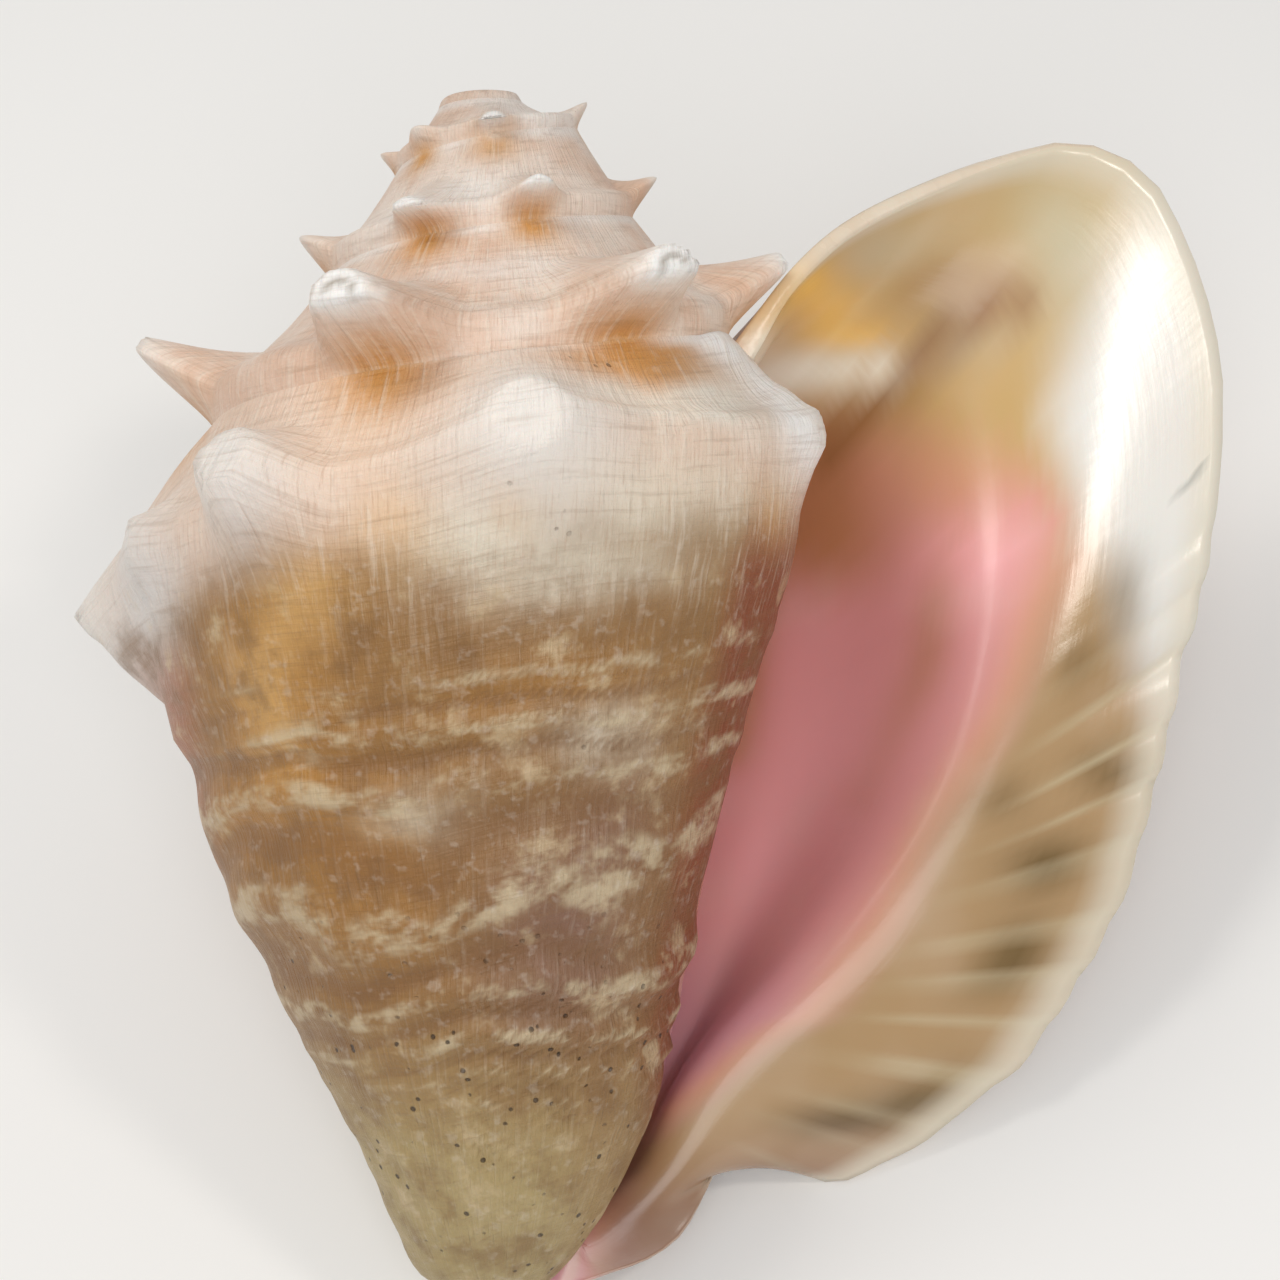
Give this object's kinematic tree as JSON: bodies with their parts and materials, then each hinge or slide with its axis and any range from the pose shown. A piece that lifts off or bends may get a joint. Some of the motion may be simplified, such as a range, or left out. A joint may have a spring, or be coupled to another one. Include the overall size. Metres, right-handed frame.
{
  "type": "conch shell",
  "caption": "Large sea snail shell with a knobbed conical spire, tapering ribbed body, wide flared glossy lip and a deep hollow, lying on its back",
  "frame": {"origin": "centre of the bounding box's bottom, on the surface it rests on", "axes": "apex of the spire towards +Y and a little up, lip towards +X, opening up (+Z), as it rests on its back"},
  "size_m": [0.2252, 0.2096, 0.1668],
  "materials": {
    "shell": "chalky outside, glossy pink inside"
  },
  "bodies": {
    "root": {"conch_shell": "shell"}
  },
  "joints": []
}
